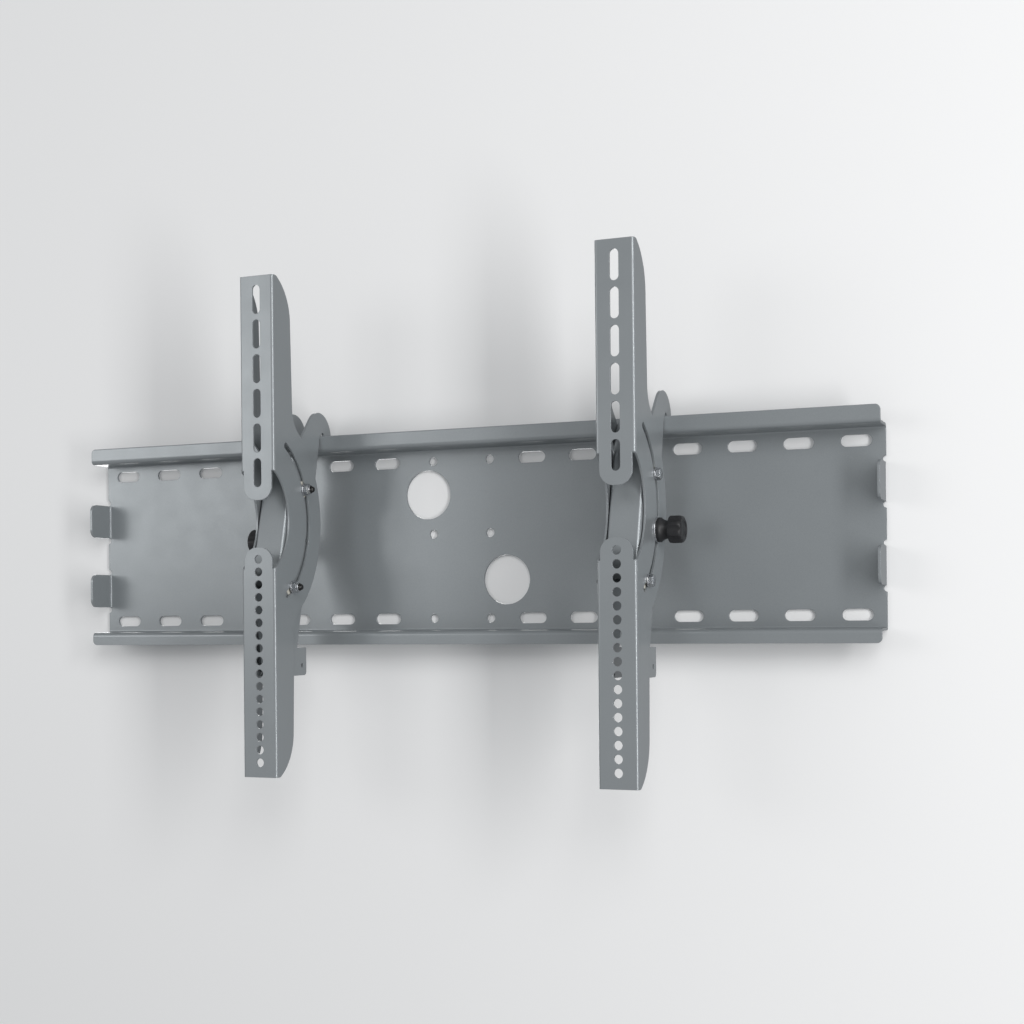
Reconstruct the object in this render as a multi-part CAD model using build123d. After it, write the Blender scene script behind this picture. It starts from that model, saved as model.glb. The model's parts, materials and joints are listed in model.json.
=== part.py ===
# Tilting wall bracket: a folded wall plate, two hook brackets that hang on its top rail,
# and two slotted arms that tilt on the hook brackets and are clamped by hand knobs.
# Millimetres, +X to the right, -Y forward from the wall, +Z up.
# Origin: centre of the wall plate's back face. "Forward" below is the distance from the wall.
import math
import os

from build123d import *

# Wall plate
plate_sheet = 2.5
slot_pitch = 53.75
slot_columns = 16
pan_height = 185.0
rail_depth = 32.5
top_lip_height = 17.0
bottom_lip_height = 13.7
bend_inside = 2.0
lip_end_radius = 5.0
row_from_edge = 12.2
wall_slot_length = 29.0
wall_slot_width = 11.0
small_hole_diameter = 9.0
small_hole_side = 31.5
small_holes_shift = 3.5
small_hole_rise = 6.0
cable_hole_diameter = 50.0
cable_hole_side = 43.3
cable_hole_rise = 44.1
cable_holes_shift = 9.5
cable_holes_lift = 2.4
end_tab_height = 36.0
end_tab_spacing = 77.0
left_tabs_drop = 8.0
right_tabs_lift = 3.0
end_tab_depth = 36.0
end_tab_corner = 8.0
relief_radius = 3.0

# Hook brackets
hook_sheet = 2.5
hook_bend_inside = 1.0
hook_width = 32.0
hook_depth = 46.4
hook_swing = 14.0
seat_gap = 0.3
ear_radius = 24.5
ear_forward = 2.75
notch_width = 6.8
notch_relief_radius = 3.0
finger_drop = 10.7
finger_slope = 18.0
hook_web_top = 72.0
hook_web_bottom = -57.0
hook_bottom_width = 36.0
tab_under_lip = 4.0
tab_height = 28.0
tab_reach = 21.2
tab_corner = 4.0
tab_hole_diameter = 4.5
tab_hole_from_edge = 8.5
tab_hole_drop = 18.0

# Tilt geometry, with the hook bracket home against both rails
tilt_axis_forward = 125.0
tilt_axis_height = -7.7
slot_radius = 85.7
slot_half_angle = 59.4
bolt_half_angle = 36.5
belly_margin = 14.0

# Arms
arm_sheet = 2.0
arm_bend_inside = 0.8
arm_x = {"left": -159.0, "right": 212.0}
axis_before_web = 20.7
arm_above_axis = 240.0
arm_below_axis = 253.5
arm_flange_depth = 39.0
arm_flange_end_depth = 33.0
arm_end_flat = 6.5
arm_end_taper = 43.0
arm_end_corner = 5.0
band_beyond_slot = 26.3
band_blend_radius = 30.0
lens_depth = 28.0
lens_height = 97.0
tongue_inset = 3.4
upper_tongue_above_axis = 19.2
lower_tongue_below_axis = 27.3
tongue_corner = 13.5
screw_slot_count = 6
screw_slot_pitch = 34.1
screw_slot_length = 28.3
screw_slot_width = 8.6
screw_slot_from_top = 23.3
screw_hole_count = 17
screw_hole_pitch = 12.5
screw_hole_diameter = 8.4
screw_hole_below_axis = 38.9

# Fasteners
bolt_diameter = 6.0
bolt_in_slot = 0.3
bolt_in_hook = 0.2
hex_flats = 10.0
bolt_head_height = 4.0
nut_height = 6.5
nut_collar_diameter = 8.8
nut_collar_height = 2.2
nut_collar_round = 0.8
bolt_past_nut = 3.0
bolt_tip_chamfer = 0.8
washer_diameter = 12.5
washer_thickness = 1.4
friction_washer_diameter = 17.0
friction_washer_thickness = 0.8
friction_washer_gap = 0.2
outer_washer_gap = 0.15
spacer_diameter = 10.0
stud_diameter = 6.0
stud_in_nut = 0.05
stud_in_hook = 0.3
stud_into_knob = 15.0
stud_nut_flats = 10.0
stud_nut_height = 5.0
stud_past_nut = 3.0
knob_angle = 1.5
knob_washer_diameter = 25.0
knob_washer_thickness = 1.2
knob_length = 24.5
knob_foot_diameter = 23.0
knob_foot_height = 2.5
knob_neck_diameter = 17.5
knob_neck_height = 11.0
knob_waist_radius = 9.0
knob_head_diameter = 26.0
knob_head_chamfer = 1.5
knob_head_round = 4.0
knob_lobes = 8
knob_scallop_radius = 4.0
knob_scallop_depth = 1.6

# Points nearer than this are the same point
same_place = 0.01

# Worked out from the sizes above
plate_width = slot_pitch * slot_columns
bend_outside = bend_inside + plate_sheet
rail_front = rail_depth
lip_middle = rail_front - plate_sheet / 2
top_lip_top = pan_height / 2 + top_lip_height
bottom_lip_end = -pan_height / 2 - bottom_lip_height
hook_pivot = (lip_middle, top_lip_top - plate_sheet / 2)
hook_rear = rail_front + seat_gap
hook_front = hook_rear + hook_depth
friction_stack = friction_washer_thickness + friction_washer_gap
arm_inside = hook_width + 2 * friction_stack
arm_face = arm_inside / 2 + arm_sheet
slot_width = bolt_diameter + 2 * bolt_in_slot


def swung(point):
    """A home position of the hook bracket, carried forward about the lip by the swing."""
    forward = point[0] - hook_pivot[0]
    rise = point[1] - hook_pivot[1]
    turn = math.radians(hook_swing)
    return (
        hook_pivot[0] + forward * math.cos(turn) - rise * math.sin(turn),
        hook_pivot[1] + forward * math.sin(turn) + rise * math.cos(turn),
    )


def on_tilt_circle(angle):
    """A home position on the bolts' circle, at an angle above the line from axis to wall."""
    turn = math.radians(angle)
    return (
        tilt_axis_forward - slot_radius * math.cos(turn),
        tilt_axis_height + slot_radius * math.sin(turn),
    )


tilt_axis = swung((tilt_axis_forward, tilt_axis_height))
upper_bolt = swung(on_tilt_circle(bolt_half_angle))
lower_bolt = swung(on_tilt_circle(-bolt_half_angle))
knob_place = swung(on_tilt_circle(knob_angle))
arm_front = tilt_axis[0] - axis_before_web
arm_top = tilt_axis[1] + arm_above_axis
arm_bottom = tilt_axis[1] - arm_below_axis

# Side view plane: drawing x is forward from the wall, drawing y is height
side_plane = Plane(origin=(0, 0, 0), x_dir=(0, -1, 0), z_dir=(-1, 0, 0))


def side_slab(sketch, half_width):
    """A side-view outline carried to both sides of X = 0."""
    return extrude(side_plane * sketch, amount=half_width, both=True)


def front_cut(sketch, near, far):
    """A front-view outline carried from one forward distance to another."""
    front = Plane(origin=(0, -near, 0), x_dir=(1, 0, 0), z_dir=(0, -1, 0))
    return extrude(front * sketch, amount=far - near)


def along_x(shape, x, place, direction=1):
    """A piece made along +Z, laid along +X or -X from x, at a forward distance and height."""
    return Pos(x, -place[0], place[1]) * Rot(0, 90 * direction, 0) * shape


# Wall plate
def plate_profile():
    """Pan, two shelves and two lips as one bent strip, seen from the side."""
    half = plate_sheet / 2
    top_shelf = pan_height / 2 + half
    centreline = FilletPolyline(
        (lip_middle, bottom_lip_end),
        (lip_middle, -top_shelf),
        (half, -top_shelf),
        (half, top_shelf),
        (lip_middle, top_shelf),
        (lip_middle, top_lip_top - half),
        radius=bend_inside + half,
    )
    strip = trace(centreline, line_width=plate_sheet)
    return strip + Pos(hook_pivot) * Circle(half)


def end_tab(side, rise):
    """A tab folded forward at one end of the pan, with rounded outer corners."""
    half = plate_sheet / 2
    end = side * (plate_width / 2 - half)
    root = side * (plate_width / 2 - 2 * bend_outside)
    fold = FilletPolyline((root, -half), (end, -half), (end, -end_tab_depth), radius=bend_inside + half)
    strip = extrude(trace(fold, line_width=plate_sheet), amount=end_tab_height / 2, both=True)
    outline = Rectangle(end_tab_depth, end_tab_height, align=(Align.MIN, Align.CENTER))
    outline = fillet(outline.vertices().sort_by(Axis.X)[-2:], end_tab_corner)
    return Pos(0, 0, rise) * (strip & side_slab(outline, plate_width))


def wall_holes():
    """Two rows of slots, two columns of small holes between them, and the two cable holes."""
    row = pan_height / 2 - row_from_edge
    holes = Sketch()
    for column in range(slot_columns):
        x = (column - (slot_columns - 1) / 2) * slot_pitch
        if abs(x) > slot_pitch:
            for rise in (-row, row):
                holes += Pos(x, rise) * SlotOverall(wall_slot_length, wall_slot_width)
    for side in (-1, 1):
        for rise in (-row, small_hole_rise, row):
            x = small_holes_shift + side * small_hole_side
            holes += Pos(x, rise) * Circle(small_hole_diameter / 2)
        x = cable_holes_shift + side * cable_hole_side
        rise = cable_holes_lift - side * cable_hole_rise
        holes += Pos(x, rise) * Circle(cable_hole_diameter / 2)
    return holes


def wall_plate():
    plate = side_slab(plate_profile(), plate_width / 2)
    reliefs = Sketch()
    tabs = Part()
    for side, middle in ((-1, -left_tabs_drop), (1, right_tabs_lift)):
        for rise in (middle - end_tab_spacing / 2, middle + end_tab_spacing / 2):
            tabs += end_tab(side, rise)
            corner = Rectangle(2 * bend_outside, end_tab_height)
            reliefs += Pos(side * plate_width / 2, rise) * corner
            for edge in (-1, 1):
                place = rise + edge * (end_tab_height / 2 + relief_radius)
                reliefs += Pos(side * plate_width / 2, place) * Circle(relief_radius)
    plate = plate - front_cut(wall_holes() + reliefs, 0, plate_sheet) + tabs
    silhouette = RectangleRounded(plate_width, top_lip_top - bottom_lip_end, lip_end_radius)
    silhouette = Pos(0, (top_lip_top + bottom_lip_end) / 2) * silhouette
    return plate & front_cut(silhouette, 0, rail_depth + end_tab_depth)


# Channels
def channel(width, sheet, bend, rear, front, bottom, top):
    """A U channel open to the wall, with bends of an inside radius between web and flanges."""
    depth = front - rear
    outer = Pos(0, -(front + rear) / 2) * Rectangle(width, depth)
    inner = Pos(0, -(front + rear) / 2 + sheet) * Rectangle(width - 2 * sheet, depth)
    outer = fillet(outer.vertices().sort_by(Axis.Y)[:2], bend + sheet)
    inner = fillet(inner.vertices().sort_by(Axis.Y)[:2], bend)
    return Pos(0, 0, bottom) * extrude(outer - inner, amount=top - bottom)


# Hook brackets
def on_tab(along, down):
    """A home position on the tab, forward of its rear edge and below its top edge.

    The tab leans back by the swing, so that it stands upright once the bracket is swung out.
    """
    lean = math.radians(hook_swing)
    return (
        hook_rear - tab_reach + along * math.cos(lean) - down * math.sin(lean),
        bottom_lip_end - tab_under_lip - along * math.sin(lean) - down * math.cos(lean),
    )


def hook_outline():
    """Side view at home: lobed ear over the lip, straight rear edge, belly and tab under the rail."""
    notch_rear = hook_rear - notch_width
    roof = top_lip_top + seat_gap
    ear_centre = (hook_pivot[0] + ear_forward, hook_pivot[1])
    ear_rear = ear_centre[0] - ear_radius
    tab_corners = (on_tab(0, tab_height), on_tab(hook_bottom_width, tab_height))
    finger_end = hook_pivot[1] - finger_drop
    slope_rise = (notch_rear - ear_rear) * math.tan(math.radians(finger_slope))
    web_top = (hook_front, hook_web_top)
    reach = math.dist(web_top, ear_centre)
    lean = math.atan2(ear_centre[1] - web_top[1], ear_centre[0] - web_top[0])
    lean -= math.asin(ear_radius / reach)
    run = math.sqrt(reach**2 - ear_radius**2)
    tangent = (web_top[0] + run * math.cos(lean), web_top[1] + run * math.sin(lean))
    body = Polygon(
        (hook_rear, roof),
        tangent,
        web_top,
        (hook_front, hook_web_bottom),
        tab_corners[1],
        on_tab(tab_reach, tab_height / 2),
        align=None,
    )
    tab = Polygon(on_tab(0, 0), *tab_corners, on_tab(tab_reach, 0), align=None)
    lobe = Pos(ear_centre) * Circle(ear_radius)
    below_finger = Polygon(
        (ear_rear, finger_end + slope_rise),
        (notch_rear, finger_end),
        (notch_rear, roof),
        (hook_rear, roof),
        (hook_rear, finger_end - ear_radius),
        (ear_rear, finger_end - ear_radius),
        align=None,
    )
    belly = Pos(tilt_axis_forward, tilt_axis_height) * Circle(slot_radius + belly_margin)
    belly_zone = Rectangle(hook_rear + hook_depth / 2, 2 * slot_radius, align=(Align.MIN, Align.CENTER))
    belly &= Pos(0, tilt_axis_height) * belly_zone
    relief_place = (notch_rear + notch_relief_radius / 2, roof + notch_relief_radius / 2)
    relief = Pos(relief_place) * Circle(notch_relief_radius)
    outline = body + tab + (lobe - below_finger) + belly - relief
    for corner in tab_corners:
        outline = fillet(outline.vertices().sort_by_distance(corner)[:1], tab_corner)
    outline -= Pos(on_tab(tab_hole_from_edge, tab_hole_drop)) * Circle(tab_hole_diameter / 2)
    for angle in (-bolt_half_angle, bolt_half_angle):
        outline -= Pos(on_tilt_circle(angle)) * Circle(bolt_diameter / 2 + bolt_in_hook)
    return outline - Pos(on_tilt_circle(knob_angle)) * Circle(stud_diameter / 2 + stud_in_hook)


def hook_bracket():
    top = hook_pivot[1] + ear_radius
    bottom = on_tab(hook_bottom_width, tab_height)[1]
    blank = channel(hook_width, hook_sheet, hook_bend_inside, 0, hook_front, bottom, top)
    bracket = blank & side_slab(hook_outline(), hook_width)
    pivot = Axis((0, -hook_pivot[0], hook_pivot[1]), (-1, 0, 0))
    return bracket.rotate(pivot, hook_swing)


# Arms
def arm_end(tip, inward):
    """One end of the side view: a flat, then an arc out to the flange's full depth."""
    end = arm_front - arm_end_flat
    rear = arm_front - arm_flange_end_depth
    across = end - rear
    radius = (arm_end_taper**2 + across**2) / (2 * across)
    arc = RadiusArc((end, tip), (rear, tip + inward * arm_end_taper), inward * radius)
    return Line((arm_front, tip), (end, tip)) + arc


def arm_outline():
    """Side view: flanges that deepen towards a round band, which is concentric with the tilt slot."""
    deepest = (arm_front - arm_flange_depth, tilt_axis[1])
    edges = Curve() + Line((arm_front, arm_top), (arm_front, arm_bottom))
    for tip, inward in ((arm_top, -1), (arm_bottom, 1)):
        edges += arm_end(tip, inward)
        edges += Line((arm_front - arm_flange_end_depth, tip + inward * arm_end_taper), deepest)
    strip = make_face(edges)
    for tip in (arm_top, arm_bottom):
        corner = strip.vertices().sort_by_distance((arm_front - arm_end_flat, tip))[:1]
        strip = fillet(corner, arm_end_corner)
    band_radius = slot_radius + band_beyond_slot
    band = Pos(tilt_axis) * Circle(band_radius)
    band &= Pos(0, tilt_axis[1]) * Rectangle(arm_front, arm_above_axis, align=(Align.MIN, Align.CENTER))
    outline = strip + band
    joins = []
    for corner in outline.vertices():
        off_band = math.dist((corner.X, corner.Y), tilt_axis) - band_radius
        if abs(off_band) < same_place and corner.X < arm_front - arm_sheet:
            joins.append(corner)
    outline = fillet(joins, band_blend_radius)
    start = 180 - slot_half_angle
    return outline - SlotArc(CenterArc(tilt_axis, slot_radius, start, 2 * slot_half_angle), slot_width)


def tongue(end, root, width):
    """The rounded end of the web that reaches into the gap between the lens cuts."""
    low, high = min(end, root), max(end, root)
    outline = Pos(0, (low + high) / 2) * Rectangle(width, high - low)
    tips = outline.vertices().sort_by(Axis.Y)
    tips = tips[:2] if end < root else tips[-2:]
    return front_cut(fillet(tips, tongue_corner), arm_front - arm_sheet, arm_front)


def screw_holes():
    """Slots above and round holes below, for the screws into a screen's back."""
    holes = Sketch()
    for k in range(screw_slot_count):
        rise = arm_top - screw_slot_from_top - k * screw_slot_pitch
        holes += Pos(0, rise) * Rot(0, 0, 90) * SlotOverall(screw_slot_length, screw_slot_width)
    for k in range(screw_hole_count):
        rise = tilt_axis[1] - screw_hole_below_axis - k * screw_hole_pitch
        holes += Pos(0, rise) * Circle(screw_hole_diameter / 2)
    return holes


def tv_arm():
    rear = tilt_axis[0] - slot_radius - band_beyond_slot
    width = 2 * arm_face
    arm = channel(width, arm_sheet, arm_bend_inside, rear, arm_front, arm_bottom, arm_top)
    arm = arm & side_slab(arm_outline(), width)
    lens_radius = ((lens_height / 2) ** 2 + lens_depth**2) / (2 * lens_depth)
    lens = Pos(arm_front - lens_depth + lens_radius, tilt_axis[1]) * Circle(lens_radius)
    arm = arm - side_slab(lens, width)
    tongue_width = width - 2 * tongue_inset
    root = lens_height / 2 + tongue_corner
    arm += tongue(tilt_axis[1] + upper_tongue_above_axis, tilt_axis[1] + root, tongue_width)
    arm += tongue(tilt_axis[1] - lower_tongue_below_axis, tilt_axis[1] - root, tongue_width)
    return arm - front_cut(screw_holes(), arm_front - 2 * arm_sheet, arm_front + arm_sheet)


# Fasteners, made along +Z from their seat
def hex_body(flats, height):
    """A hexagon with its corners turned down to a chamfer on the outer face."""
    blank = extrude(RegularPolygon(flats / 2, 6, major_radius=False), amount=height)
    corner = flats / math.sqrt(3)
    turned = Pos(0, 0, height / 2) * Cylinder(corner, height)
    rim = turned.edges().sort_by(Axis.Z)[-1]
    return blank & chamfer(rim, corner - flats / 2)


def ring(outer, inner, height):
    """A washer or tube standing on its seat."""
    return extrude(Circle(outer / 2) - Circle(inner / 2), amount=height)


def hex_nut(flats, bore, height):
    return hex_body(flats, height) - extrude(Circle(bore / 2), amount=height)


washer_seat = arm_face + outer_washer_gap
head_seat = washer_seat + washer_thickness
bolt_reach = 2 * head_seat + nut_height + bolt_past_nut
bolt_bore = bolt_diameter + 2 * bolt_in_hook


def tilt_bolt(x, place, outward):
    """Hex head on the outer side of the arm, shank through to the inner side."""
    head = along_x(hex_body(hex_flats, bolt_head_height), x + outward * head_seat, place, outward)
    tip = chamfer(Cylinder(bolt_diameter / 2, bolt_reach).edges().sort_by(Axis.Z)[-1], bolt_tip_chamfer)
    shank = Pos(0, 0, bolt_reach / 2) * tip
    return head + along_x(shank, x + outward * head_seat, place, -outward)


def lock_nut(x, place, outward):
    """Hex nut with the round collar that holds its locking ring, on the inner side of the arm."""
    collar = extrude(Circle(nut_collar_diameter / 2), amount=nut_height)
    collar = fillet(collar.edges().sort_by(Axis.Z)[-1], nut_collar_round)
    nut = hex_body(hex_flats, nut_height - nut_collar_height) + collar
    nut -= extrude(Circle(bolt_diameter / 2), amount=nut_height)
    return along_x(nut, x - outward * head_seat, place, -outward)


def spacer_tube(x, place):
    inside = hook_width - 2 * hook_sheet
    return along_x(ring(spacer_diameter, bolt_bore, inside), x - inside / 2, place)


def bolt_washers(x):
    """One washer under each head and each nut."""
    washer = ring(washer_diameter, bolt_bore, washer_thickness)
    places = [along_x(washer, x + s * washer_seat, p, s) for p in (upper_bolt, lower_bolt) for s in (-1, 1)]
    return Compound(children=places)


def friction_washers(x):
    """Slip rings on the hook bracket's two flanges, where the arm's flanges rub."""
    washer = ring(friction_washer_diameter, bolt_bore, friction_washer_thickness)
    seat = hook_width / 2
    places = [along_x(washer, x + s * seat, p, s) for p in (upper_bolt, lower_bolt) for s in (-1, 1)]
    return Compound(children=places)


# Hand knob, made along +Z from the washer it presses on
knob_seat = washer_seat + knob_washer_thickness


def knob_body():
    """Flared foot, waisted neck and scalloped head."""
    foot = knob_foot_diameter / 2
    neck = knob_neck_diameter / 2
    head = knob_head_diameter / 2
    base = knob_head_chamfer
    end = knob_head_round
    side = Polyline((0, 0), (foot, 0), (foot, knob_foot_height))
    side += RadiusArc((foot, knob_foot_height), (neck, knob_neck_height), knob_waist_radius)
    side += Polyline((neck, knob_neck_height), (head - base, knob_neck_height))
    side += Line((head - base, knob_neck_height), (head, knob_neck_height + base))
    side += Line((head, knob_neck_height + base), (head, knob_length - end))
    side += RadiusArc((head, knob_length - end), (head - end, knob_length), -end)
    side += Polyline((head - end, knob_length), (0, knob_length), (0, 0))
    body = revolve(Plane.XZ * make_face(side), Axis.Z)
    scallop = Cylinder(knob_scallop_radius, knob_length, align=(Align.CENTER, Align.CENTER, Align.MIN))
    centre = head - knob_scallop_depth + knob_scallop_radius
    for place in PolarLocations(centre, knob_lobes):
        body -= place * Pos(0, 0, knob_neck_height) * scallop
    return body - extrude(Circle(stud_diameter / 2), amount=stud_into_knob)


def knob_stud():
    """The threaded stud moulded into the knob, which ends a little past its nut."""
    nut_end = hook_width / 2 - hook_sheet - stud_nut_height
    length = stud_into_knob + knob_seat - nut_end + stud_past_nut
    return Pos(0, 0, stud_into_knob - length / 2) * Cylinder(stud_diameter / 2, length)


# Every piece in its place
pieces = {"wall_plate": wall_plate()}
hook = hook_bracket()
arm = tv_arm()
for side, x in arm_x.items():
    outward = 1 if x > 0 else -1
    pieces[f"hook_bracket_{side}"] = Pos(x, 0, 0) * hook
    pieces[f"tv_arm_{side}"] = Pos(x, 0, 0) * arm
    for level, place in (("upper", upper_bolt), ("lower", lower_bolt)):
        pieces[f"{level}_tilt_bolt_{side}"] = tilt_bolt(x, place, outward)
        pieces[f"{level}_lock_nut_{side}"] = lock_nut(x, place, outward)
        pieces[f"{level}_spacer_tube_{side}"] = spacer_tube(x, place)
    pieces[f"bolt_washers_{side}"] = bolt_washers(x)
    pieces[f"friction_washers_{side}"] = friction_washers(x)
    pieces[f"tension_knob_{side}"] = along_x(knob_body(), x + outward * knob_seat, knob_place, outward)
    pieces[f"knob_stud_{side}"] = along_x(knob_stud(), x + outward * knob_seat, knob_place, outward)
    knob_washer = ring(knob_washer_diameter, stud_diameter + 2 * stud_in_hook, knob_washer_thickness)
    pieces[f"knob_washer_{side}"] = along_x(knob_washer, x + outward * washer_seat, knob_place, outward)
    slip_ring = ring(friction_washer_diameter, stud_diameter + 2 * stud_in_hook, friction_washer_thickness)
    pieces[f"knob_slip_ring_{side}"] = along_x(slip_ring, x + outward * hook_width / 2, knob_place, outward)
    stud_nut = hex_nut(stud_nut_flats, stud_diameter + 2 * stud_in_nut, stud_nut_height)
    nut_x = x + outward * (hook_width / 2 - hook_sheet)
    pieces[f"knob_nut_{side}"] = along_x(stud_nut, nut_x, knob_place, -outward)

os.makedirs("parts", exist_ok=True)
for name, piece in pieces.items():
    export_step(piece, f"parts/{name}.step")
print("tilt axis forward %.2f height %.2f" % tilt_axis, "arm front %.2f" % arm_front)
print("knob place forward %.2f height %.2f" % knob_place, "nodes", len(pieces))
print("tab hole forward %.2f height %.2f" % swung(on_tab(tab_hole_from_edge, tab_hole_drop)))
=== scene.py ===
# %% [markdown]
# # A tilting wall bracket, dressed for its portrait
# The bracket is sheet steel: a folded plate that is screwed to a wall, two hook brackets that hang on
# the plate's top rail, and two slotted arms that tilt on them. Four bolts and two hand knobs hold the
# tilt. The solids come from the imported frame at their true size, so this lesson only adds the finish of
# every surface, the threads and moulded forms of the small hardware, and the light.

# %% Load the frame
import json
import math

import bmesh
import bpy
import numpy as np
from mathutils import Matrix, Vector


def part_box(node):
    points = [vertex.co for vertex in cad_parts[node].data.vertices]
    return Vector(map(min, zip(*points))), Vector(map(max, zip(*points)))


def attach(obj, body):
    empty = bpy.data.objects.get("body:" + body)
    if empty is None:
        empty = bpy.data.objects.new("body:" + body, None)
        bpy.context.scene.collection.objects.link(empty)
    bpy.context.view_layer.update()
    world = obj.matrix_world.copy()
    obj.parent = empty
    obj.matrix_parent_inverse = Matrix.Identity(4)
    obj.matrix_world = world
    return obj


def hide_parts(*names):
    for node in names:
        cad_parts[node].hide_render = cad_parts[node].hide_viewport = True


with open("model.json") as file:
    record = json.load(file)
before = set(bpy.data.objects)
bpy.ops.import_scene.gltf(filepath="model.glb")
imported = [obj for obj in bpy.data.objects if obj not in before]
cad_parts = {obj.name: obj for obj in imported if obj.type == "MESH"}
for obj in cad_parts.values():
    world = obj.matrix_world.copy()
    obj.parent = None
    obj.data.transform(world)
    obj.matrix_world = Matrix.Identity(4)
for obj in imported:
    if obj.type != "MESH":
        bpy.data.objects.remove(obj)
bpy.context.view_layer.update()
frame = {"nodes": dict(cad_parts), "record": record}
nodes = frame["nodes"]
sides = ("left", "right")

# %% [markdown]
# ## Camera
# The bracket is seen from the right and from a little below its middle, with upright lines kept
# upright. A photographer does that with a level camera and a shifted lens, so the camera here has no
# pitch: its horizon is moved down the picture by the lens shift instead. A trace of roll remains.

# %% Level camera with a shifted lens
camera_place = (0.6729, -1.4908, -0.0803)
camera_yaw = math.radians(22.453)
camera_roll = math.radians(-0.53)
lens_length = 56.35
sensor_width = 36.0
horizon_shift = 0.1033

camera_data = bpy.data.cameras.new("portrait_camera")
camera_data.lens = lens_length
camera_data.sensor_width = sensor_width
camera_data.shift_y = horizon_shift
camera = bpy.data.objects.new("portrait_camera", camera_data)
bpy.context.scene.collection.objects.link(camera)
camera.location = camera_place
camera.rotation_euler = (math.pi / 2, -camera_roll, camera_yaw)
bpy.context.scene.camera = camera
print("camera:", camera_place, "lens", lens_length)

# %% [markdown]
# ## Surfaces from arrays
# All the small hardware is turned or rolled about a line parallel to X, so each piece is a grid: its
# rows run along that line, its columns run once round it, and a formula gives every point's place along
# and distance from it. Blender's own cylinders and spin tool would need many steps for each piece. A
# grid needs one formula, and one helper turns it into a mesh with faces that point outwards.

# %% Turned grids
def grid_faces(rows, turns, ring):
    """Quads between neighbouring rows of a grid whose columns close on themselves."""
    row = np.arange(rows if ring else rows - 1)[:, None]
    column = np.arange(turns)[None, :]
    above = (row + 1) % rows
    beside = (column + 1) % turns
    corners = [row * turns + column, row * turns + beside, above * turns + beside, above * turns + column]
    return np.stack(corners, axis=-1).reshape(-1, 4)


def enclosed_volume(points, faces):
    """Signed volume: the sum over triangles of the box product of their corners, over six."""
    first, second, third, fourth = (points[faces[:, k]] for k in range(4))
    halves = np.cross(second, third) + np.cross(third, fourth)
    return float((first * halves).sum() / 6)


def turned_skin(along, radius, start, direction, ring=False):
    """Points at along from start and at radius round the axis, by cosine in Y and sine in Z.

    along and radius are grids of rows by turns. A first and a last row of no radius close the ends,
    and a ring joins its last row to its first instead.
    """
    rows, turns = radius.shape
    angle = np.arange(turns) * (2 * math.pi / turns)
    grid = np.stack([direction * along, radius * np.cos(angle), radius * np.sin(angle)], axis=-1)
    points = grid.reshape(-1, 3)
    faces = grid_faces(rows, turns, ring)
    if enclosed_volume(points, faces) < 0:
        faces = faces[:, ::-1]
    return points + np.asarray(start), faces


def joined(skins):
    """Several skins as one list of points and one list of faces."""
    starts = np.cumsum([0] + [len(points) for points, _ in skins[:-1]])
    points = np.concatenate([points for points, _ in skins])
    faces = np.concatenate([faces + start for (_, faces), start in zip(skins, starts)])
    return points, faces


print("grids: turned skins of points and faces")

# %% Pieces that ride on bodies
merge_distance = 1e-7
crease_angle = math.radians(35)


def mesh_object(name, points, faces):
    """A mesh object at the origin, with smooth faces, merged poles and its creases kept sharp."""
    mesh = bpy.data.meshes.new(name)
    mesh.from_pydata(points.tolist(), [], faces.tolist())
    shape = bmesh.new()
    shape.from_mesh(mesh)
    bmesh.ops.remove_doubles(shape, verts=shape.verts, dist=merge_distance)
    shape.to_mesh(mesh)
    shape.free()
    mesh.polygons.foreach_set("use_smooth", np.ones(len(mesh.polygons), dtype=bool))
    mesh.set_sharp_from_angle(angle=crease_angle)
    made = bpy.data.objects.new(name, mesh)
    bpy.context.scene.collection.objects.link(made)
    return made


def fit_piece(name, skin, body, finish, node=None):
    """A finished piece that rides on a body, and stands for a node where it replaces one."""
    made = mesh_object(name, *skin)
    made.data.materials.append(finish)
    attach(made, body)
    if node:
        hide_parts(node)
    print(name, len(made.data.polygons), "faces")
    return made


# %% [markdown]
# ## Silver paint
# Plate, hook brackets and arms are powder coated in a cool silver grey. Powder flows out to a satin
# skin with a faint orange peel and a fine metal fleck, and it pulls back from cut edges, which it
# leaves softly rounded. A picture of paint would have to be wrapped on, so the finish is noise in
# object space at the coat's own scale instead, and it stays put on every piece.

# %% Material helpers
noise_low = 0.3
noise_high = 0.7
edge_samples = 4


def new_material(name):
    """A material with its node tree and its main shader."""
    material = bpy.data.materials.new(name)
    material.use_nodes = True
    tree = material.node_tree
    return material, tree, tree.nodes["Principled BSDF"]


def add_node(tree, kind, settings=None, **sockets):
    """A node with its settings and unlinked inputs filled in by name."""
    made = tree.nodes.new(kind)
    for key, value in (settings or {}).items():
        setattr(made, key, value)
    for key, value in sockets.items():
        made.inputs[key.replace("_", " ")].default_value = value
    return made


def noise(tree, scale, detail=2.0):
    """Noise on object coordinates; scale is in cycles per metre."""
    place = add_node(tree, "ShaderNodeTexCoord")
    texture = add_node(tree, "ShaderNodeTexNoise", Scale=scale, Detail=detail)
    tree.links.new(place.outputs["Object"], texture.inputs["Vector"])
    return texture.outputs["Fac"]


def ramp(tree, factor, stops):
    """Colours blended along a factor; each stop is a place and a colour."""
    made = add_node(tree, "ShaderNodeValToRGB")
    elements = made.color_ramp.elements
    while len(elements) < len(stops):
        elements.new(0.5)
    for element, (place, colour) in zip(elements, stops):
        element.position = place
        element.color = (*colour, 1.0)
    tree.links.new(factor, made.inputs["Fac"])
    return made.outputs["Color"]


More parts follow.
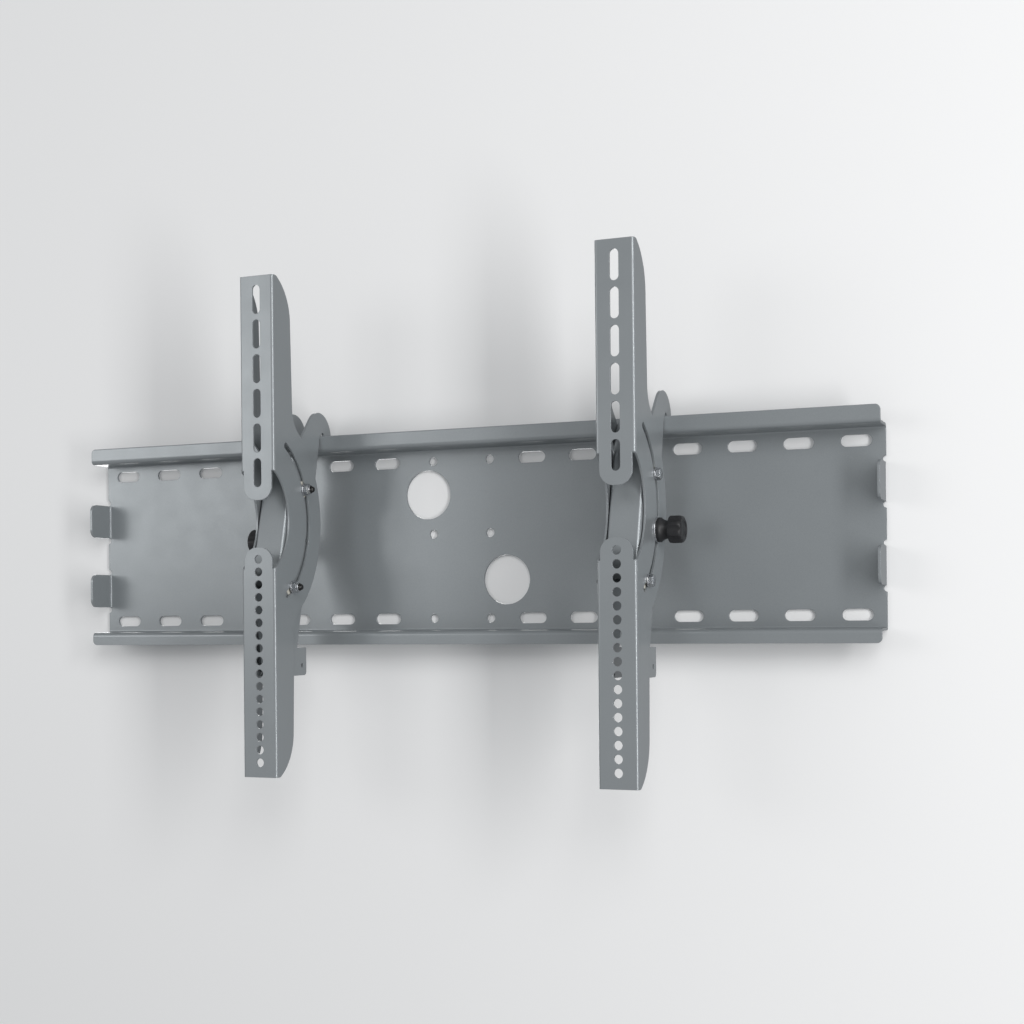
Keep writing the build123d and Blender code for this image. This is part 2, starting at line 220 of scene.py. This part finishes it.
def spread(tree, factor, low, high):
    """A factor between the two levels where noise mostly lies, carried to low and high."""
    made = add_node(tree, "ShaderNodeMapRange", From_Min=noise_low, From_Max=noise_high,
                    To_Min=low, To_Max=high)
    tree.links.new(factor, made.inputs["Value"])
    return made.outputs["Result"]


def relief(tree, shader, height, strength, depth, edge_round):
    """A bump of a depth in metres, over edges that look rounded by a radius."""
    edges = add_node(tree, "ShaderNodeBevel", {"samples": edge_samples}, Radius=edge_round)
    made = add_node(tree, "ShaderNodeBump", Strength=strength, Distance=depth)
    tree.links.new(height, made.inputs["Height"])
    tree.links.new(edges.outputs["Normal"], made.inputs["Normal"])
    tree.links.new(made.outputs["Normal"], shader.inputs["Normal"])


def lay_on(tree, shader, tone, gloss):
    """A tone for the shader's colour and a gloss for its roughness."""
    tree.links.new(tone, shader.inputs["Base Color"])
    tree.links.new(gloss, shader.inputs["Roughness"])


print("materials: helpers ready")

# %% Silver powder coat
paint_dark = (0.255, 0.275, 0.287)
paint_light = (0.308, 0.331, 0.344)
fleck_share = 0.6


def silver_powder_coat():
    """Fleck over faint clouds of tone, a satin sheen that varies, and orange peel over soft edges."""
    material, tree, shader = new_material("silver_powder_coat")
    blend = add_node(tree, "ShaderNodeMix", {"data_type": "FLOAT"}, Factor=fleck_share)
    tree.links.new(noise(tree, scale=6.0), blend.inputs[2])
    tree.links.new(noise(tree, scale=2600.0, detail=1.0), blend.inputs[3])
    tone = ramp(tree, blend.outputs[0], [(noise_low, paint_dark), (noise_high, paint_light)])
    gloss = spread(tree, noise(tree, scale=40.0, detail=3.0), low=0.28, high=0.34)
    lay_on(tree, shader, tone, gloss)
    relief(tree, shader, noise(tree, scale=420.0), strength=0.10, depth=0.0002, edge_round=0.0006)
    shader.inputs["Metallic"].default_value = 0.36
    shader.inputs["Coat Weight"].default_value = 0.2
    shader.inputs["Coat Roughness"].default_value = 0.2
    return material


silver = silver_powder_coat()
print("paint:", silver.name)

# %% [markdown]
# ## Zinc, plastic and nylon
# Bolts, nuts, washers, tubes and studs are bright zinc plated steel: full metal, with a patchy gloss.
# The bolts' threads are painted near black: painted shade and dark reflection on the end that shows past
# the nut.
# The knobs are black moulded plastic with a fine grain, and the slip rings are natural nylon. Each finish
# is a small network of the same kind as the paint, so a change of tone or gloss is one number.

# %% Zinc plate
def bright_zinc():
    """Bluish plate whose tone and gloss drift in small patches."""
    material, tree, shader = new_material("bright_zinc")
    stops = [(noise_low, (0.44, 0.45, 0.47)), (0.55, (0.57, 0.58, 0.60)), (0.75, (0.64, 0.64, 0.62))]
    tone = ramp(tree, noise(tree, scale=160.0, detail=3.0), stops)
    gloss = spread(tree, noise(tree, scale=420.0), low=0.20, high=0.34)
    lay_on(tree, shader, tone, gloss)
    relief(tree, shader, noise(tree, scale=1500.0), strength=0.06, depth=0.00008, edge_round=0.0003)
    shader.inputs["Metallic"].default_value = 1.0
    return material


def thread_shade_finish():
    """Zinc with painted shade and dark reflection: near black, a little lighter in random patches."""
    material, tree, shader = new_material("thread_shade_finish")
    # Near-black tones: painted shade and dark reflection on the bolt's end.
    stops = [(noise_low, (0.030, 0.030, 0.031)), (0.75, (0.095, 0.094, 0.092))]
    tone = ramp(tree, noise(tree, scale=520.0), stops)
    gloss = spread(tree, noise(tree, scale=420.0), low=0.30, high=0.46)
    lay_on(tree, shader, tone, gloss)
    relief(tree, shader, noise(tree, scale=1500.0), strength=0.06, depth=0.00008, edge_round=0.0003)
    shader.inputs["Metallic"].default_value = 1.0
    return material


zinc = bright_zinc()
shade_painted = thread_shade_finish()
print("metal:", zinc.name, shade_painted.name)

# %% Plastic finishes
def black_moulding():
    """Near-black plastic with a fine grain and slightly uneven gloss."""
    material, tree, shader = new_material("black_moulding")
    stops = [(noise_low, (0.012, 0.012, 0.013)), (noise_high, (0.024, 0.024, 0.026))]
    tone = ramp(tree, noise(tree, scale=120.0, detail=3.0), stops)
    gloss = spread(tree, noise(tree, scale=260.0), low=0.36, high=0.50)
    lay_on(tree, shader, tone, gloss)
    relief(tree, shader, noise(tree, scale=2600.0), strength=0.22, depth=0.00006, edge_round=0.0003)
    shader.inputs["Specular IOR Level"].default_value = 0.35
    return material


def natural_nylon():
    """Milky plastic with faint flow marks."""
    material, tree, shader = new_material("natural_nylon")
    stops = [(noise_low, (0.62, 0.60, 0.53)), (noise_high, (0.74, 0.72, 0.65))]
    tone = ramp(tree, noise(tree, scale=240.0), stops)
    gloss = spread(tree, noise(tree, scale=500.0), low=0.38, high=0.52)
    lay_on(tree, shader, tone, gloss)
    relief(tree, shader, noise(tree, scale=900.0), strength=0.1, depth=0.00005, edge_round=0.0002)
    return material


plastic = black_moulding()
nylon = natural_nylon()
print("plastics:", plastic.name, nylon.name)

# %% [markdown]
# ## Finish on every solid
# The record says which material slot each node has. The solids keep their own meshes: only the material
# in their slots changes.

# %% Dress the solids
finishes = {"silver_paint": silver, "zinc_steel": zinc, "black_plastic": plastic, "pale_nylon": nylon}
slot_of = {part["node"]: part["material_slot"] for part in frame["record"]["subparts"]}
for name, solid in nodes.items():
    solid.data.materials.clear()
    solid.data.materials.append(finishes[slot_of[name]])
print("dressed:", {slot: list(slot_of.values()).count(slot) for slot in finishes})

# %% [markdown]
# ## Tilt bolts
# Each bolt is forged, turned and rolled from one bar: a hexagon head whose corners are chamfered, a
# plain shank, and a thread that shows past the nut. Modelled by hand, the thread would be a screw
# modifier and the head a cylinder of six sides. Here both are radius formulas: the hexagon depends on
# the angle alone, and the thread is a wave that winds once round for every pitch along.

# %% Hexagon, thread and plain rows
turns = 72
face_share = 0.95
chamfer_slope = math.tan(math.radians(30))
rows_per_pitch = 8
flat_share = 0.1


def plain_rows(*stations):
    """Rows of one radius each; a station is a place along the axis and a radius."""
    along, radius = np.array(stations, float).T
    return np.outer(along, np.ones(turns)), np.outer(radius, np.ones(turns))


def hex_rows(base, top, flats):
    """A hexagon between two round faces.

    The radius is half the flats over the cosine of the angle from the nearest flat's middle, and the
    corners fall away from each face by their overhang times the tangent of 30 degrees.
    """
    angle = np.arange(turns) * (2 * math.pi / turns)
    from_flat = (angle + math.pi / 6) % (math.pi / 3) - math.pi / 6
    side = flats / 2 / np.cos(from_flat)
    face = np.full(turns, flats / 2 * face_share)
    fall = (side - face) * chamfer_slope * np.sign(top - base)
    along = np.stack([np.full(turns, base), base + fall, top - fall, np.full(turns, top)])
    return along, np.stack([face, side, side, face])


def thread_rows(start, end, crest, pitch, depth, lead_in):
    """Crest radius less a triangle wave whose phase is the place in pitches plus the turn made.

    The wave is clipped to a flat at crest and root. The crest shrinks by the lead-in towards the end, as
    the point of a bolt does.
    """
    along = np.linspace(start, end, int(abs(end - start) / pitch * rows_per_pitch) + 1)
    phase = along[:, None] / pitch + np.arange(turns)[None, :] / turns
    tooth = np.abs((phase % 1.0) * 2 - 1)
    radius = crest - depth * np.clip((tooth - flat_share) / (1 - 2 * flat_share), 0, 1)
    point = crest - lead_in + np.minimum(np.abs(end - along), lead_in)
    return np.outer(along, np.ones(turns)), np.minimum(radius, point[:, None])


def stacked(*parts):
    """Rows of several stretches, one after the other."""
    return tuple(np.concatenate(rows) for rows in zip(*parts))


def axis_start(node, direction):
    """The end of a node's box that a direction along X starts from, on the middle line of the box."""
    low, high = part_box(node)
    return (low[0] if direction > 0 else high[0], (low[1] + high[1]) / 2, (low[2] + high[2]) / 2)


def length_along(node):
    """A node's length along X."""
    low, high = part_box(node)
    return high[0] - low[0]


print("rows: plain, hexagon and thread, each of", turns, "points")

# %% Threaded bolts
shank = 0.003
bolt_flats = 0.010
bolt_head = 0.004
bolt_pitch = 0.001
bolt_groove = 0.00055
bolt_point = 0.0008
bolt_thread = 0.018
levels = ("upper", "lower")
outward_of = {"left": -1, "right": 1}


def bolt_skin(node, outward):
    """Rows from the point of the bolt, up its thread and shank, over the head."""
    length = length_along(node)
    thread = thread_rows(bolt_thread, 0, shank, bolt_pitch, bolt_groove, bolt_point)
    rows = stacked(
        plain_rows((0, 0)),
        tuple(part[::-1] for part in thread),
        plain_rows((bolt_thread, shank), (length - bolt_head, shank)),
        hex_rows(length - bolt_head, length, bolt_flats),
        plain_rows((length, 0)),
    )
    return turned_skin(*rows, axis_start(node, outward), outward)


def paint_thread_shade(bolt, point):
    """The painted-shade finish on every face whose middle lies within the thread's length of the point."""
    bolt.data.materials.append(shade_painted)
    faces = bolt.data.polygons
    middles = np.empty(3 * len(faces))
    faces.foreach_get("center", middles)
    on_thread = np.abs(middles[::3] - point) < bolt_thread
    faces.foreach_set("material_index", on_thread.astype(np.int32))
    print(bolt.name, int(on_thread.sum()), "faces oiled")


for side in sides:
    for level in levels:
        node = f"{level}_tilt_bolt_{side}"
        outward = outward_of[side]
        bolt = fit_piece(f"{level}_threaded_bolt_{side}", bolt_skin(node, outward),
                         f"hook_{side}", zinc, node)
        paint_thread_shade(bolt, axis_start(node, outward)[0])

# %% [markdown]
# ## Lock nuts
# A lock nut has a hexagon, a round collar above it, and a plastic ring crimped into the collar's mouth
# that grips the thread. Booleans could cut the mouth and the bore. As a closed ring of rows, the nut
# needs none: the rows run up the outside, over the rolled lip, into the mouth and back down the bore.

# %% Nuts with their locking rings
nut_flats = 0.010
nut_hex = 0.0043
collar = 0.0044
collar_round = 0.0008
mouth = 0.0040
mouth_depth = 0.0005
insert_height = 0.0013
round_steps = 6


def quarter_round(along, radius, size):
    """Stations on a quarter circle that turns from going along to going in."""
    turn = np.linspace(0, math.pi / 2, round_steps)
    return list(zip(along - size + size * np.sin(turn), radius - size + size * np.cos(turn)))


def nut_skin(node, direction):
    """Rows up the hexagon and collar, over the lip, into the mouth and down the bore."""
    height = length_along(node)
    rows = stacked(
        plain_rows((0, shank)),
        hex_rows(0, nut_hex, nut_flats),
        plain_rows((nut_hex, collar), *quarter_round(height, collar, collar_round),
                   (height, mouth), (height - mouth_depth, mouth), (height - mouth_depth, shank)),
    )
    return turned_skin(*rows, axis_start(node, direction), direction, ring=True)


def insert_skin(node, direction):
    """A short ring in the nut's mouth, with its outer edge rounded."""
    height = length_along(node)
    top = height - mouth_depth / 2
    rows = plain_rows((top - insert_height, shank), (top - insert_height, mouth),
                      *quarter_round(top, mouth, mouth_depth / 2), (top, shank))
    return turned_skin(*rows, axis_start(node, direction), direction, ring=True)


for side in sides:
    for level in levels:
        node = f"{level}_lock_nut_{side}"
        inward = -outward_of[side]
        fit_piece(f"{level}_collared_nut_{side}", nut_skin(node, inward),
                  f"hook_{side}", zinc, node)
        fit_piece(f"{level}_locking_ring_{side}", insert_skin(node, inward),
                  f"hook_{side}", plastic)

# %% [markdown]
# ## Washers and studs
# Washers are punched, so one rim is rounded by the punch and the other is left sharp. Each node of
# washers is one mesh of several rings. The studs are threaded from end to end, and show inside the hook
# brackets and behind the knobs.

# %% Rounded washers
washer_radius = 0.00625
washer_bore = 0.0032
washer_height = 0.0014
knob_washer_radius = 0.0125
knob_washer_bore = 0.0033
knob_washer_height = 0.0012
punch_round = 0.0005


def washer_skin(start, direction, height, outer, bore):
    """A flat ring on its seat whose outer rim is rounded on the far side."""
    rows = plain_rows((0, bore), (0, outer), *quarter_round(height, outer, punch_round), (height, bore))
    return turned_skin(*rows, start, direction, ring=True)


for side in sides:
    low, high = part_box(f"bolt_washers_{side}")
    skins = []
    for level in levels:
        _, y, z = axis_start(f"{level}_lock_nut_{side}", 1)
        for direction, far in ((-1, low[0]), (1, high[0])):
            start = (far - direction * washer_height, y, z)
            skins.append(washer_skin(start, direction, washer_height, washer_radius, washer_bore))
    fit_piece(f"punched_washers_{side}", joined(skins),
              f"hook_{side}", zinc, f"bolt_washers_{side}")
    node = f"knob_washer_{side}"
    outward = outward_of[side]
    skin = washer_skin(axis_start(node, outward), outward,
                       knob_washer_height, knob_washer_radius, knob_washer_bore)
    fit_piece(f"punched_knob_washer_{side}", skin, f"knob_{side}", zinc, node)

# %% Threaded studs
def stud_skin(node, outward):
    """A thread from the inner end to the end inside the knob, closed at both."""
    length = length_along(node)
    thread = thread_rows(0, length, shank, bolt_pitch, bolt_groove, bolt_point)
    rows = stacked(plain_rows((0, 0)), thread, plain_rows((length, 0)))
    return turned_skin(*rows, axis_start(node, outward), outward)


for side in sides:
    node = f"knob_stud_{side}"
    fit_piece(f"threaded_stud_{side}", stud_skin(node, outward_of[side]),
              f"knob_{side}", zinc, node)

# %% [markdown]
# ## Hand knobs
# The knob is one moulding: a flared foot, a waisted neck, and a head with finger scallops all round and
# a dished end. Cutting scallops with cylinders leaves hard corners that a mould never has. In polar
# form the head's radius is the smaller of the round profile and the scallop's own circle, and a smooth
# minimum of the two gives each lobe its rounded corner.

# %% Scalloped knobs
knob_foot = 0.0115
knob_foot_height = 0.0025
knob_neck = 0.00875
knob_neck_height = 0.011
knob_waist = 0.009
knob_head = 0.013
knob_shoulder = 0.0015
knob_round = 0.004
knob_lobes = 8
scallop = 0.004
scallop_depth = 0.0016
lobe_softness = 0.0004
dish_radius = 0.0075
dish_depth = 0.0007
waist_steps = 12
head_steps = 5


def waist_stations():
    """Points on the hollow arc of the neck: a circle of the waist's radius through foot and neck."""
    foot = np.array([knob_foot_height, knob_foot])
    neck = np.array([knob_neck_height, knob_neck])
    chord = neck - foot
    half = np.hypot(*chord) / 2
    normal = np.array([-chord[1], chord[0]]) / (2 * half)
    centre = (foot + neck) / 2 + normal * math.sqrt(knob_waist**2 - half**2)
    first, last = (math.atan2(*(point - centre)[::-1]) for point in (foot, neck))
    turn = np.linspace(first, last, waist_steps)
    return list(zip(centre[0] + knob_waist * np.cos(turn), centre[1] + knob_waist * np.sin(turn)))


def scallop_radius(phase):
    """Distance to the nearest scallop circle along each angle, or a length past the head where none is."""
    angle = np.arange(turns) * (2 * math.pi / turns) - phase
    step = 2 * math.pi / knob_lobes
    off = (angle + step / 2) % step - step / 2
    centre = knob_head - scallop_depth + scallop
    inside = scallop**2 - (centre * np.sin(off)) ** 2
    return np.where(inside > 0, centre * np.cos(off) - np.sqrt(np.maximum(inside, 0)), 2 * knob_head)


def smooth_minimum(first, second, softness):
    """The smaller of two, rounded where they cross: less the squared overlap over four softnesses."""
    overlap = np.maximum(softness - np.abs(first - second), 0)
    return np.minimum(first, second) - overlap**2 / (4 * softness)


def knob_skin(node, stud, outward):
    """Rows up the foot and the waist, round the head with its scallops, and into the dish."""
    length = length_along(node)
    _, y, z = axis_start(stud, outward)
    start = (axis_start(node, outward)[0], y, z)
    rise = np.linspace(0, math.pi / 2, round_steps)
    shoulder = zip(knob_neck_height + knob_shoulder * (1 - np.cos(rise)),
                   knob_head - knob_shoulder * (1 - np.sin(rise)))
    straight = np.linspace(knob_neck_height + knob_shoulder, length - knob_round, head_steps)[1:-1]
    head = plain_rows(*shoulder, *((along, knob_head) for along in straight),
                      *quarter_round(length, knob_head, knob_round))
    scallops = scallop_radius(-outward * math.pi / 2)[None, :]
    head = (head[0], smooth_minimum(head[1], scallops, lobe_softness))
    rows = stacked(
        plain_rows((0, 0), (0, knob_foot)),
        plain_rows(*waist_stations()),
        head,
        plain_rows((length, dish_radius), (length - dish_depth, dish_radius - dish_depth),
                   (length - dish_depth, dish_radius / 2), (length - dish_depth / 2, 0)),
    )
    return turned_skin(*rows, start, outward)


for side in sides:
    node = f"tension_knob_{side}"
    fit_piece(f"scalloped_knob_{side}", knob_skin(node, f"knob_stud_{side}", outward_of[side]),
              f"knob_{side}", plastic, node)

# %% [markdown]
# ## Wall, floor and light
# The bracket hangs on a pale wall that runs down to a pale floor in one sweep, far enough below for the
# lamps not to burn it out. The sweep takes the bracket's shadow, but it shows only its front and
# neither holds light back nor throws any, so that the plate can be seen from behind as well. A tall
# narrow lamp on the right draws the thin bright line along every fold. A large soft one from the upper
# right throws the shadows down to the left. A wide, low window on the left is mirrored in the plate's
# left end and in the arms' upper halves, and fades to the right. A fourth lamp lights the plate's back
# for views from there.

# %% Wall and floor in one sweep
wall_gap = 0.0006
floor_height = -2.2
sweep_width = 9.0
wall_top = 4.0
floor_reach = 6.0
cove_radius = 0.5
cove_steps = 12
plaster_colour = (0.87, 0.87, 0.87, 1)


def sweep_grid():
    """A profile of wall, quarter-circle cove and floor, carried along X."""
    turn = np.linspace(0, math.pi / 2, cove_steps)
    cove_y = wall_gap - cove_radius * (1 - np.cos(turn))
    cove_z = floor_height + cove_radius * (1 - np.sin(turn))
    profile_y = np.concatenate([[wall_gap], cove_y, [-floor_reach]])
    profile_z = np.concatenate([[wall_top], cove_z, [floor_height]])
    x = np.array([-sweep_width / 2, sweep_width / 2])
    points = np.stack([np.repeat(x[None], len(profile_y), 0),
                       np.repeat(profile_y[:, None], 2, 1),
                       np.repeat(profile_z[:, None], 2, 1)], axis=-1).reshape(-1, 3)
    first = np.arange(len(profile_y) - 1) * 2
    return points, np.stack([first, first + 2, first + 3, first + 1], axis=-1)


def pale_plaster():
    """A matt pale coat that is clear from behind."""
    material, tree, shader = new_material("pale_plaster")
    shader.inputs["Base Color"].default_value = plaster_colour
    shader.inputs["Roughness"].default_value = 0.9
    shader.inputs["Specular IOR Level"].default_value = 0.1
    behind = add_node(tree, "ShaderNodeNewGeometry")
    clear = add_node(tree, "ShaderNodeBsdfTransparent")
    choose = add_node(tree, "ShaderNodeMixShader")
    tree.links.new(behind.outputs["Backfacing"], choose.inputs["Fac"])
    tree.links.new(shader.outputs["BSDF"], choose.inputs[1])
    tree.links.new(clear.outputs["BSDF"], choose.inputs[2])
    tree.links.new(choose.outputs["Shader"], tree.nodes["Material Output"].inputs["Surface"])
    return material


sweep = mesh_object("wall_and_floor", *sweep_grid())
sweep.data.materials.append(pale_plaster())
sweep.visible_shadow = False
sweep.visible_diffuse = False
sweep.visible_glossy = False
print("stage: wall normal", [round(v, 2) for v in sweep.data.polygons[0].normal])

# %% Lamps and surroundings
middle = (0, 0, 0)
sky_colour = (0.92, 0.94, 0.96, 1)
sky_strength = 0.40


def soft_lamp(name, place, target, width, height, power):
    """A rectangular lamp that looks from its place to a target, its height upright."""
    data = bpy.data.lights.new(name, "AREA")
    data.shape = "RECTANGLE"
    data.size = width
    data.size_y = height
    data.energy = power
    lamp = bpy.data.objects.new(name, data)
    lamp.location = place
    direction = np.asarray(target) - np.asarray(place)
    flat = math.hypot(direction[0], direction[1])
    lamp.rotation_euler = (math.atan2(flat, -direction[2]), 0, math.atan2(-direction[0], direction[1]))
    bpy.context.scene.collection.objects.link(lamp)
    return lamp


soft_lamp("key_lamp", place=(1.5, -2.5, 1.5), target=middle, width=1.6, height=1.6, power=24)
soft_lamp("fold_lamp", place=(2.2, -1.5, 0.0), target=middle, width=0.4, height=2.6, power=38)
soft_lamp("window_lamp", place=(-1.6, -1.7, 0.4), target=(-0.2, 0, 0.1), width=1.4, height=0.8, power=8)
soft_lamp("back_lamp", place=(-1.5, 2.4, 0.3), target=middle, width=2.0, height=2.0, power=40)

world = bpy.data.worlds.new("studio")
world.use_nodes = True
sky = world.node_tree.nodes["Background"]
sky.inputs["Color"].default_value = sky_colour
sky.inputs["Strength"].default_value = sky_strength
bpy.context.scene.world = world
bpy.context.scene.view_settings.view_transform = "Standard"
